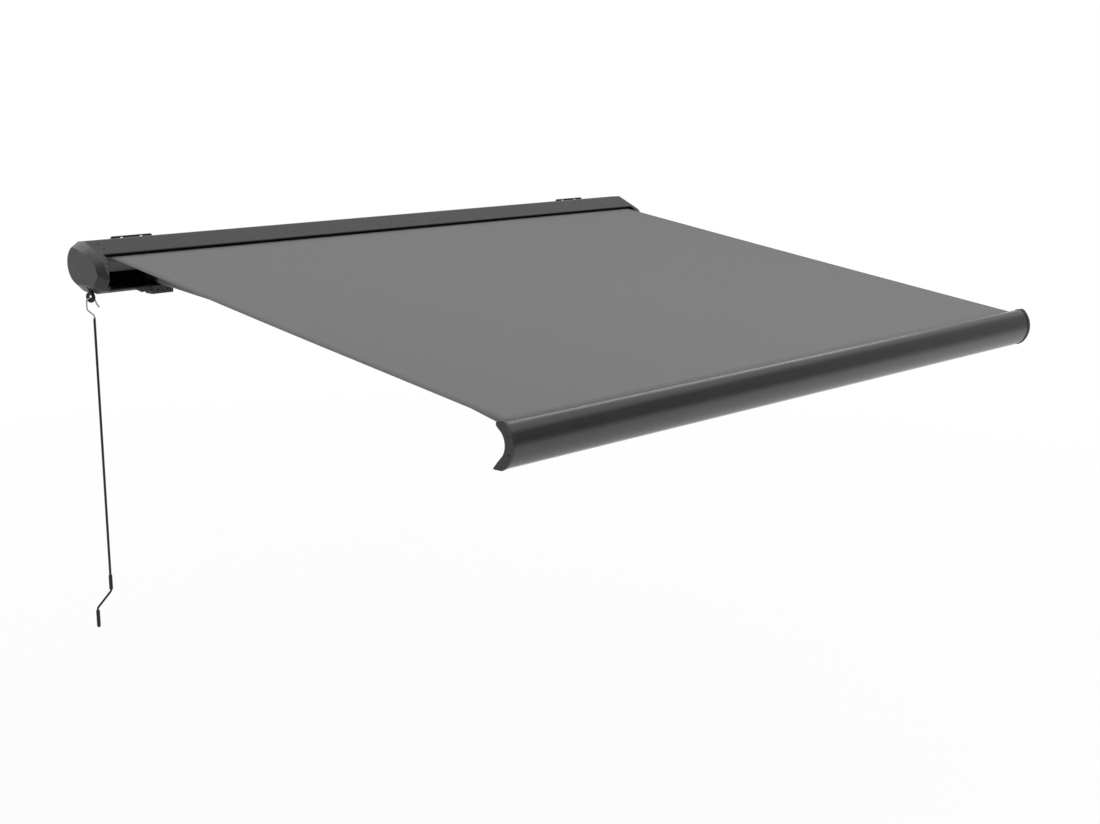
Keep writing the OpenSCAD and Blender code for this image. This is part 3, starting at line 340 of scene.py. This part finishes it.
def rounded_copy(node, name, radius, segments):
    """Copy of a CAD node with rounded edges, in place of the node."""
    bm = bmesh.new()
    bm.from_mesh(nodes[node].data)
    bmesh.ops.remove_doubles(bm, verts=bm.verts, dist=MERGE_DIST)
    bmesh.ops.dissolve_limit(bm, angle_limit=FLAT_ANGLE, verts=bm.verts, edges=bm.edges)
    obj = piece_from(bm, name, body_of(node))
    soft = obj.modifiers.new("small radii", "BEVEL")
    soft.width = radius
    soft.segments = segments
    soft.limit_method = "ANGLE"
    soft.angle_limit = BEVEL_ANGLE
    soft.harden_normals = True
    dress(obj, SLOT_FINISH[slot_of(node)])
    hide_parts(node)
    print(name, "rounded by", radius * 1000.0, "mm")


for side in ("left", "right"):
    rounded_copy(side + "_end_cover", side + "_cover_shell", radius=0.0016, segments=3)
    rounded_copy(side + "_bar_cap", side + "_bar_end", radius=0.0006, segments=2)
    rounded_copy(side + "_clamp_block", side + "_clamp_casting", radius=0.0008, segments=2)

# %% [markdown]
# ## The cloth
# Awning acrylic is woven from thick dyed yarn, sewn from widths of about a metre and hemmed along both
# sides. It is pulled tight between roller and bar, so it hangs almost flat, with a sag of a few
# millimetres. A cloth simulation could find that sag, but a formula gives the same shape at once. A grid
# is laid on the slope, sagged and rippled by it, and given its thickness by a Solidify modifier. Its UV
# map is in metres, so the weave keeps its real size.

# %% Shape of the cloth
fabric_low, fabric_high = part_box("fabric")
EDGE_L = fabric_low.x
EDGE_R = fabric_high.x
GROOVE_BACK = 0.0075
CLOTH_END = BAR_REACH - GROOVE_BACK
CLOTH_W = EDGE_R - EDGE_L
CLOTH_L = CLOTH_END - start_down
SAG = 0.004
SAG_AT_EDGES = 0.6
RIPPLE = 0.0006
RIPPLE_ALONG = 9.0
RIPPLE_SLANT = 3.0
RIPPLE_ACROSS = 14.0
RIPPLE_SHIFT = 1.7
CLEARANCE = 0.0006


def cloth_height(x, down):
    """Height above the plane: sag along and across, and slow ripples that die out at both ends."""
    s = (down - start_down) / CLOTH_L
    u = (x - EDGE_L) / CLOTH_W
    along = math.sin(math.pi * s)
    sag = -SAG * along * (SAG_AT_EDGES + (1.0 - SAG_AT_EDGES) * math.sin(math.pi * u))
    slanted = math.sin(RIPPLE_ALONG * s + RIPPLE_SLANT * u)
    crossing = math.sin(RIPPLE_ACROSS * u + RIPPLE_SHIFT)
    return sag + RIPPLE * slanted * along * crossing + CLEARANCE


middle = cloth_height((EDGE_L + EDGE_R) / 2, (start_down + CLOTH_END) / 2)
print("middle of the cloth", round(middle * 1000.0, 2), "mm above its plane")

# %% [markdown]
# ### The sheet
# The grid is fine enough for the sag to look smooth. The layers that are sewn on later use the same
# function, so that they follow the sheet closely.

# %% Cloth sheet
CLOTH_ACROSS = 72
CLOTH_ALONG = 56
CLOTH_T = 0.0009


def laid_grid(name, x0, x1, across, lift):
    """Grid on the cloth's plane between x0 and x1, from the roller to the bar."""
    bm = bmesh.new()
    bmesh.ops.create_grid(bm, x_segments=across, y_segments=CLOTH_ALONG, size=0.5)
    uv = bm.loops.layers.uv.new("cloth")
    for vert in bm.verts:
        x = x0 + (vert.co.x + 0.5) * (x1 - x0)
        down = start_down + (vert.co.y + 0.5) * (CLOTH_END - start_down)
        vert.co = on_slope(x, down, cloth_height(x, down) + lift)
    for face in bm.faces:
        for loop in face.loops:
            loop[uv].uv = (loop.vert.co.x, (loop.vert.co - SLOT).dot(DOWN))
    return piece_from(bm, name, "cassette")


def thicken(obj, thickness):
    """Gives a sheet its thickness, half on each side."""
    solid = obj.modifiers.new("cloth thickness", "SOLIDIFY")
    solid.thickness = thickness
    solid.offset = 0.0


cloth = laid_grid("awning_cloth", EDGE_L, EDGE_R, CLOTH_ACROSS, 0.0)
thicken(cloth, CLOTH_T)
print("cloth", round(CLOTH_W, 3), "x", round(CLOTH_L, 3), "m")

# %% [markdown]
# ### Seams and hems
# Where two widths of cloth overlap, and where the side edge is folded over, there is a second layer. It
# lies on the under side, where rain can't collect against it. A seam could be drawn in the weave's
# material, but a thin strip a fraction of a millimetre below the sheet also catches light along its edge.

# %% Seams and hems
WIDTHS = 3
HEM = 0.022
LAYER_T = 0.0005
LAYER_DROP = 0.0007
LAYER_ACROSS = 2
hems = [(EDGE_L, EDGE_L + HEM), (EDGE_R - HEM, EDGE_R)]
seam_places = [EDGE_L + CLOTH_W * k / WIDTHS for k in range(1, WIDTHS)]
seams = [(x - HEM / 2, x + HEM / 2) for x in seam_places]
layers = []
for i, (x0, x1) in enumerate(hems + seams):
    layer = laid_grid("cloth_layer_%d" % i, x0, x1, LAYER_ACROSS, -LAYER_DROP)
    thicken(layer, LAYER_T)
    layers.append(layer)
print("second layers:", len(hems), "hems and", len(seams), "seams")

# %% [markdown]
# ### The weave
# An image of cloth would blur or repeat on seven square metres. Two wave textures at right angles, read
# from the UV map in metres, make the over-and-under of a plain weave at a pitch of 1.2 mm. A slow noise
# varies the dye a little along the yarns, and a low sheen gives the fibres their soft edge.

# %% Cloth finish
YARN_PITCH = 0.0012
WAVE_RADIANS = 20.0
SLUB_SCALE = 40.0
SLUB_DETAIL = 6.0
SLUB_STRETCH = (1.0, 12.0, 12.0)
SLUB_TONE = (0.1, 0.6)
WEAVE_TONE = 0.35
WEAVE_STRENGTH = 0.35
WEAVE_DEPTH = 0.0002


def yarn_waves(tree, uv, axis):
    """Ridges of the yarns across one axis of the UV map. At a scale of 1, a wave turns 20 radians a metre."""
    wave = tree.nodes.new("ShaderNodeTexWave")
    wave.bands_direction = axis
    wave.inputs["Scale"].default_value = 2 * math.pi / (WAVE_RADIANS * YARN_PITCH)
    tree.links.new(uv, wave.inputs["Vector"])
    return wave.outputs["Fac"]


def woven(name, dark, light):
    """Plain weave of dyed yarn in UV metres."""
    mat = bpy.data.materials.new(name)
    mat.use_nodes = True
    tree = mat.node_tree
    shader = tree.nodes["Principled BSDF"]
    coords = tree.nodes.new("ShaderNodeTexCoord")
    cross = tree.nodes.new("ShaderNodeMath")
    cross.operation = "MULTIPLY"
    for i, axis in enumerate(("X", "Y")):
        tree.links.new(yarn_waves(tree, coords.outputs["UV"], axis), cross.inputs[i])
    slub = noise(tree, coords.outputs["Object"], SLUB_SCALE, SLUB_DETAIL, SLUB_STRETCH)
    tone = tree.nodes.new("ShaderNodeMath")
    tone.operation = "MULTIPLY_ADD"
    tree.links.new(cross.outputs[0], tone.inputs[0])
    tone.inputs[1].default_value = WEAVE_TONE
    tree.links.new(spread(tree, slub, *SLUB_TONE), tone.inputs[2])
    tree.links.new(blend_colours(tree, tone.outputs[0], dark, light), shader.inputs["Base Color"])
    relief = bumped(tree, cross.outputs[0], WEAVE_STRENGTH, WEAVE_DEPTH)
    tree.links.new(relief, shader.inputs["Normal"])
    shader.inputs["Roughness"].default_value = 0.92
    shader.inputs["Specular IOR Level"].default_value = 0.12
    shader.inputs["Sheen Weight"].default_value = 0.04
    shader.inputs["Sheen Roughness"].default_value = 0.6
    return mat


acrylic = woven("grey woven acrylic", dark=(0.176, 0.177, 0.179), light=(0.212, 0.213, 0.215))
for obj in [cloth] + layers:
    dress(obj, acrylic)
print("weave with", round(1.0 / YARN_PITCH), "yarns a metre each way")

# %% [markdown]
# ### The cloth's own meshes
# When the arms fold, the cloth runs in over the roller. Winding it turn by turn would need a new shape at
# every step. Here the sheet and its layers only take meshes of their own, and the CAD's fabric is
# hidden.

# %% Own meshes of the cloth
for obj in [cloth] + layers:
    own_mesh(obj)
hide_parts("fabric")

# %% [markdown]
# ### Turns on the roller and the welt in the bar
# The turns left on the roller are one closed tube of cloth, and a round welt sewn into the front hem
# sits in the groove of the bar. A cylinder would do for the welt, but not for the tube, so both start as
# circles that are filled or bridged and then extruded along X.

# %% Roll and welt
ROLL_R = 0.0406
TURNS_INNER_R = 0.0391
ROLL_SIDES = 96
WELT_SIDES = 24


def round_run(name, centre, radii, body, sides):
    """Tube or rod of cloth along X: radii holds one radius, or an outer and an inner one."""
    bm = bmesh.new()
    turn = Matrix.Rotation(math.radians(90.0), 4, "Y")
    start = Matrix.Translation((EDGE_L, centre.y, centre.z)) @ turn
    for radius in radii:
        bmesh.ops.create_circle(bm, cap_ends=len(radii) == 1, segments=sides, radius=radius,
                                matrix=start)
    if len(radii) == 2:
        bmesh.ops.bridge_loops(bm, edges=list(bm.edges))
    run = bmesh.ops.extrude_face_region(bm, geom=list(bm.faces))
    moved = [part for part in run["geom"] if isinstance(part, bmesh.types.BMVert)]
    bmesh.ops.translate(bm, verts=moved, vec=(EDGE_R - EDGE_L, 0.0, 0.0))
    obj = piece_from(bm, name, body)
    dress(obj, acrylic)
    return obj


turns = round_run("cloth_turns", ROLLER, (ROLL_R, TURNS_INNER_R), "roller", ROLL_SIDES)
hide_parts("fabric_roll")
welt_low, welt_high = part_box("bar_welt")
WELT_R = (welt_high.z - welt_low.z) / 2
welt = round_run("welt_cord", (welt_low + welt_high) / 2, (WELT_R,), "bar", WELT_SIDES)
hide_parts("bar_welt")
print("roll radius", ROLL_R, "welt radius", round(WELT_R, 4))

# %% [markdown]
# ## The hook of the crank
# The hook is one wire, bent cold in a single plane: up from the rod, out round a heel, over through the
# eye and down to an open tip. Its line is drawn in that plane in millimetres, as on a workshop drawing,
# with arcs for the bends.

# %% Line of the hook
def arc_points(centre, radius, first, last, count):
    """Points of an arc in the hook's plane, in millimetres and degrees."""
    angles = [math.radians(first + (last - first) * i / count) for i in range(count + 1)]
    return [(centre[0] + radius * math.cos(a), centre[1] + radius * math.sin(a)) for a in angles]


rod_end = [(9.3, -84.8), (9.3, -80.0)]
first_bend = arc_points((-4.7, -79.5), 14.0, 6.0, 54.0, 6)
heel = arc_points((-1.6, -43.0), 15.5, 228.0, 176.0, 6)
back = [(-16.6, -25.0)]
rise = arc_points((-3.0, -19.0), 14.6, 162.0, 104.0, 5)
through_eye = [(-1.5, -4.1), (1.5, -4.1)]
fall = arc_points((3.0, -19.0), 14.9, 82.0, 30.0, 5)
open_tip = [(18.5, -21.0), (22.0, -30.0), (27.0, -38.0), (31.0, -42.0)]
hook_line = rod_end + first_bend + heel + back + rise + through_eye + fall + open_tip
print("hook points:", len(hook_line))

# %% [markdown]
# A tube swept by hand would need a ring of vertices at each point. A curve with a round bevel makes the
# same wire, with closed ends and even bends, and follows the line of the CAD's hook. Its plane is turned
# a little from X.

# %% Hook wire
EYE_X = -1.582
EYE_BACK = 0.051
EYE_DROP = 0.153
EYE = SLOT + Vector((EYE_X, EYE_BACK, -EYE_DROP))
HOOK_TURN = math.radians(-20.0)
HOOK_U = Vector((math.cos(HOOK_TURN), math.sin(HOOK_TURN), 0.0))
WIRE_R = 0.003
MM = 0.001

curve = bpy.data.curves.new("hook line", "CURVE")
curve.dimensions = "3D"
curve.bevel_depth = WIRE_R
curve.bevel_resolution = 5
curve.use_fill_caps = True
spline = curve.splines.new("NURBS")
spline.points.add(len(hook_line) - 1)
for point, (u, z) in zip(spline.points, hook_line):
    place = EYE + HOOK_U * (u * MM) + Vector((0.0, 0.0, z * MM))
    point.co = (*place, 1.0)
spline.use_endpoint_u = True
spline.order_u = 3
hook = bpy.data.objects.new("hook_wire", curve)
bpy.context.scene.collection.objects.link(hook)
curve.materials.append(hook_wire_zinc)
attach(hook, "crank")
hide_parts("crank_hook")
print("hook wire", WIRE_R * 2, "m thick, eye at", [round(v, 3) for v in EYE])

# %% [markdown]
# ## Camera
# The camera stands front left and a little above, as in the photograph, with a normal lens of about 50 mm.
# Its place and turn could be found by trial, but lining up the awning's straight edges with the picture
# gives them more surely.

# %% Camera
CAMERA_PLACE = (-4.709, -5.773, 0.777)
CAMERA_YAW = math.radians(44.54)
CAMERA_TILT = math.radians(-12.32)
camera_data = bpy.data.cameras.new("photo camera")
camera_data.lens = 51.70
camera_data.sensor_width = 36.0
camera_data.clip_end = 200.0
camera = bpy.data.objects.new("photo camera", camera_data)
bpy.context.scene.collection.objects.link(camera)
look = Vector((math.cos(CAMERA_YAW) * math.cos(CAMERA_TILT),
               math.sin(CAMERA_YAW) * math.cos(CAMERA_TILT),
               math.sin(CAMERA_TILT)))
camera.location = CAMERA_PLACE
camera.rotation_euler = look.to_track_quat("-Z", "Y").to_euler()
bpy.context.scene.camera = camera
print("camera at", [round(v, 2) for v in camera.location])

# %% [markdown]
# ## Floor
# The floor is a wide pale plane far below the awning. It could be made white by stronger lamps, but those
# would bleach the awning too. So its paint has two answers: a ray that comes straight from the camera, or
# by way of a mirror or glass, sees a white glow, and all other light meets a matte pale paint.

# %% Rays that see the room
def seen_directly(tree):
    """1 for rays from the camera, from a mirror or through glass, and 0 for the light that bounces."""
    path = tree.nodes.new("ShaderNodeLightPath")
    value = path.outputs["Is Camera Ray"]
    for other in ("Is Glossy Ray", "Is Transmission Ray"):
        most = tree.nodes.new("ShaderNodeMath")
        most.operation = "MAXIMUM"
        tree.links.new(value, most.inputs[0])
        tree.links.new(path.outputs[other], most.inputs[1])
        value = most.outputs[0]
    return value


def ranged(tree, value, from_low, from_high, low, high):
    """Straight map of one range on to another."""
    node = tree.nodes.new("ShaderNodeMapRange")
    limits = {"From Min": from_low, "From Max": from_high, "To Min": low, "To Max": high}
    for key, limit in limits.items():
        node.inputs[key].default_value = limit
    tree.links.new(value, node.inputs["Value"])
    return node


print("camera, mirror and glass rays see the room's glow")

# %% [markdown]
# ### Paint of the floor
# Near the awning a small share of the matte paint is mixed back in, so that the floor keeps a faint shadow,
# and further out the glow is full white. From underneath the floor is clear, so that the arms can be
# looked at from there.

# %% Floor paint
SHADE_NEAR = 3.0
SHADE_FAR = 9.0
GLOW_SHARE_NEAR = 0.95
WHITE = (1.0, 1.0, 1.0, 1.0)


def floor_paint():
    """Matte pale paint with a glow for direct rays, clear from below."""
    mat = bpy.data.materials.new("pale floor paint")
    mat.use_nodes = True
    tree = mat.node_tree
    matte = tree.nodes["Principled BSDF"]
    matte.inputs["Base Color"].default_value = (0.86, 0.86, 0.86, 1.0)
    matte.inputs["Roughness"].default_value = 0.9
    matte.inputs["Specular IOR Level"].default_value = 0.0
    glow = tree.nodes.new("ShaderNodeEmission")
    glow.inputs["Color"].default_value = WHITE
    glow.inputs["Strength"].default_value = 1.0
    place = tree.nodes.new("ShaderNodeTexCoord")
    reach = tree.nodes.new("ShaderNodeVectorMath")
    reach.operation = "LENGTH"
    tree.links.new(place.outputs["Object"], reach.inputs[0])
    far = ranged(tree, reach.outputs["Value"], SHADE_NEAR, SHADE_FAR, GLOW_SHARE_NEAR, 1.0)
    share = tree.nodes.new("ShaderNodeMath")
    share.operation = "MULTIPLY"
    tree.links.new(seen_directly(tree), share.inputs[0])
    tree.links.new(far.outputs["Result"], share.inputs[1])
    from_above = tree.nodes.new("ShaderNodeMixShader")
    tree.links.new(share.outputs[0], from_above.inputs["Fac"])
    tree.links.new(matte.outputs["BSDF"], from_above.inputs[1])
    tree.links.new(glow.outputs["Emission"], from_above.inputs[2])
    clear = tree.nodes.new("ShaderNodeBsdfTransparent")
    facing = tree.nodes.new("ShaderNodeNewGeometry")
    both = tree.nodes.new("ShaderNodeMixShader")
    tree.links.new(facing.outputs["Backfacing"], both.inputs["Fac"])
    tree.links.new(from_above.outputs["Shader"], both.inputs[1])
    tree.links.new(clear.outputs["BSDF"], both.inputs[2])
    tree.links.new(both.outputs["Shader"], tree.nodes["Material Output"].inputs["Surface"])
    return mat


pale_paint = floor_paint()
print("floor paint: all glow beyond", SHADE_FAR, "m from the middle")

# %% [markdown]
# The floor itself is one square face. Like the flags later, it is an object of the room and rides on no
# body of the awning.

# %% Floor
FLOOR_Z = -2.4
FLOOR_HALF = 250.0


def room_object(name, bm, mat):
    """Object for the room, which isn't a piece of the awning."""
    mesh = bpy.data.meshes.new(name)
    bm.to_mesh(mesh)
    bm.free()
    mesh.materials.append(mat)
    obj = bpy.data.objects.new(name, mesh)
    bpy.context.scene.collection.objects.link(obj)
    return obj


floor_bm = bmesh.new()
bmesh.ops.create_grid(floor_bm, x_segments=1, y_segments=1, size=FLOOR_HALF,
                      matrix=Matrix.Translation((0.0, 0.0, FLOOR_Z)))
floor = room_object("pale_floor", floor_bm, pale_paint)
print("floor", 2 * FLOOR_HALF, "m wide at", FLOOR_Z)

# %% [markdown]
# ## Flags
# A photographer sets dark cards beside a shiny object, so that its curves can be read in what they
# mirror. Two grey flags stand upright on the floor here, and only mirrored rays meet them. The rounded
# front of the bar shows the right one as a soft dark band between the bright floor and the bright strip.
# It fades towards its foot and its head, so the band has no hard edge. The left one darkens the front
# bevel of the end cover, so that its facets can be told apart.

# %% Paint of a flag
FOOT_SHARE = 0.3
FOOT_GLOW = 0.8
HEAD_SHARE = 0.75


def graded(tree, value, from_low, from_high, low, high):
    """Map of one range on to another with soft ends."""
    node = ranged(tree, value, from_low, from_high, low, high)
    node.interpolation_type = "SMOOTHSTEP"
    return node


def flag_paint(name, start_x, end_x, height, dim_first, dim_last):
    """Grey glow from dim_first to dim_last along X, which brightens at the foot and the head."""
    mat = bpy.data.materials.new(name)
    mat.use_nodes = True
    tree = mat.node_tree
    coords = tree.nodes.new("ShaderNodeTexCoord")
    parts = tree.nodes.new("ShaderNodeSeparateXYZ")
    tree.links.new(coords.outputs["Object"], parts.inputs["Vector"])
    top = FLOOR_Z + height
    along = graded(tree, parts.outputs["X"], start_x, end_x, dim_first, dim_last)
    foot = graded(tree, parts.outputs["Z"], FLOOR_Z, FLOOR_Z + FOOT_SHARE * height, FOOT_GLOW, 0.0)
    head = graded(tree, parts.outputs["Z"], FLOOR_Z + HEAD_SHARE * height, top, 0.0, 1.0)
    edge = tree.nodes.new("ShaderNodeMath")
    edge.operation = "ADD"
    tree.links.new(foot.outputs["Result"], edge.inputs[0])
    tree.links.new(head.outputs["Result"], edge.inputs[1])
    level = ranged(tree, edge.outputs[0], 0.0, 1.0, dim_first, 1.0)
    tree.links.new(along.outputs["Result"], level.inputs["To Min"])
    glow = tree.nodes.new("ShaderNodeEmission")
    glow.inputs["Color"].default_value = WHITE
    tree.links.new(level.outputs["Result"], glow.inputs["Strength"])
    tree.links.new(glow.outputs["Emission"], tree.nodes["Material Output"].inputs["Surface"])
    return mat


print("a flag is brighter below", FOOT_SHARE, "and above", HEAD_SHARE, "of its height")

# %% [markdown]
# ### Standing the flags up
# A flag is one square face whose corners are moved to their places. Its ray switches are then turned off
# for the camera, for plain light, for shadows and for glass, so that it is there for mirrors alone.

# %% Flags
def flag(name, first, last, height, dim_first, dim_last):
    """Upright glowing sheet from first to last on the floor, seen in mirrored rays alone."""
    bm = bmesh.new()
    bmesh.ops.create_grid(bm, x_segments=1, y_segments=1, size=0.5)
    start = Vector((*first, FLOOR_Z))
    end = Vector((*last, FLOOR_Z))
    for vert in bm.verts:
        rise = Vector((0.0, 0.0, (vert.co.y + 0.5) * height))
        vert.co = start.lerp(end, vert.co.x + 0.5) + rise
    paint = flag_paint(name + " paint", start.x, end.x, height, dim_first, dim_last)
    obj = room_object(name, bm, paint)
    obj.visible_camera = False
    obj.visible_diffuse = False
    obj.visible_shadow = False
    obj.visible_transmission = False
    print(name, round((end - start).length, 2), "m long")


flag("grey flag right", first=(1.6, -8.0), last=(9.4, -4.4), height=6.6, dim_first=0.22, dim_last=0.52)
flag("grey flag left", first=(-5.8, -2.0), last=(-2.2, -4.7), height=8.5, dim_first=0.08, dim_last=0.08)

# %% [markdown]
# ## The world
# A white world lights the awning evenly from all round. Direct and mirrored rays see it at 1, which is
# white, and the light that bounces takes less than half of it, so that the lamps can still shape the
# object.

# %% World
SKY_BOUNCED = 0.45
world = bpy.data.worlds.new("studio")
bpy.context.scene.world = world
world.use_nodes = True
sky_tree = world.node_tree
sky = sky_tree.nodes["Background"]
sky.inputs["Color"].default_value = WHITE
sky_level = ranged(sky_tree, seen_directly(sky_tree), 0.0, 1.0, SKY_BOUNCED, 1.0)
sky_tree.links.new(sky_level.outputs["Result"], sky.inputs["Strength"])
print("sky gives", SKY_BOUNCED, "of its white to the bounced light")

# %% [markdown]
# ## Lamps
# Sun or point lamps would draw hard shadows, so large area lamps stand for the panels of a studio. The key
# and the top panel light the cloth evenly, the rim draws the edge of the left cover, and the low panel
# reaches into the mouth of the cassette. The strip is there for its mirror image along the bar's upper
# edge.

# %% Lamps
def softbox(name, place, target, size, watts):
    """Rectangular lamp at a place, aimed at a target and hidden from the camera."""
    lamp = bpy.data.lights.new(name, "AREA")
    lamp.shape = "RECTANGLE"
    lamp.size, lamp.size_y = size
    lamp.energy = watts
    obj = bpy.data.objects.new(name, lamp)
    bpy.context.scene.collection.objects.link(obj)
    obj.location = place
    aim = Vector(target) - Vector(place)
    obj.rotation_euler = aim.to_track_quat("-Z", "Y").to_euler()
    obj.visible_camera = False
    return obj


softbox("key before the awning", place=(0.5, -6.5, 4.6), target=(0.0, -1.2, 0.0),
        size=(4.0, 3.0), watts=120.0)
softbox("top panel", place=(0.0, -1.0, 5.5), target=(0.0, -1.0, 0.0), size=(6.0, 4.0), watts=100.0)
softbox("rim behind the left end", place=(-2.3, 3.5, 3.6), target=(-1.6, 0.0, 0.0),
        size=(3.2, 3.0), watts=60.0)
low_panel = softbox("low panel before the mouth", place=(0.8, -6.4, -1.75),
                    target=(-1.4, 0.0, -0.06), size=(3.4, 1.0), watts=60.0)
strip_lamp = softbox("long strip for the bar's upper edge", place=(5.0, -3.5, 4.6),
                     target=(5.0, -3.5, 0.0), size=(7.0, 0.5), watts=58.0)
print("lamps: key, top, rim, low panel and strip")

# %% [markdown]
# Two lamps need one more setting. The low panel would show as a bright line in the bar, so mirrored rays
# don't see it. The strip looks straight down, where aiming leaves its turn open, so its long side is laid
# along X. The plain Standard view then shows every colour as it is written.

# %% Last settings
low_panel.visible_glossy = False
strip_lamp.rotation_euler = (0.0, 0.0, 0.0)
bpy.context.scene.view_settings.view_transform = "Standard"
print("view:", bpy.context.scene.view_settings.view_transform)
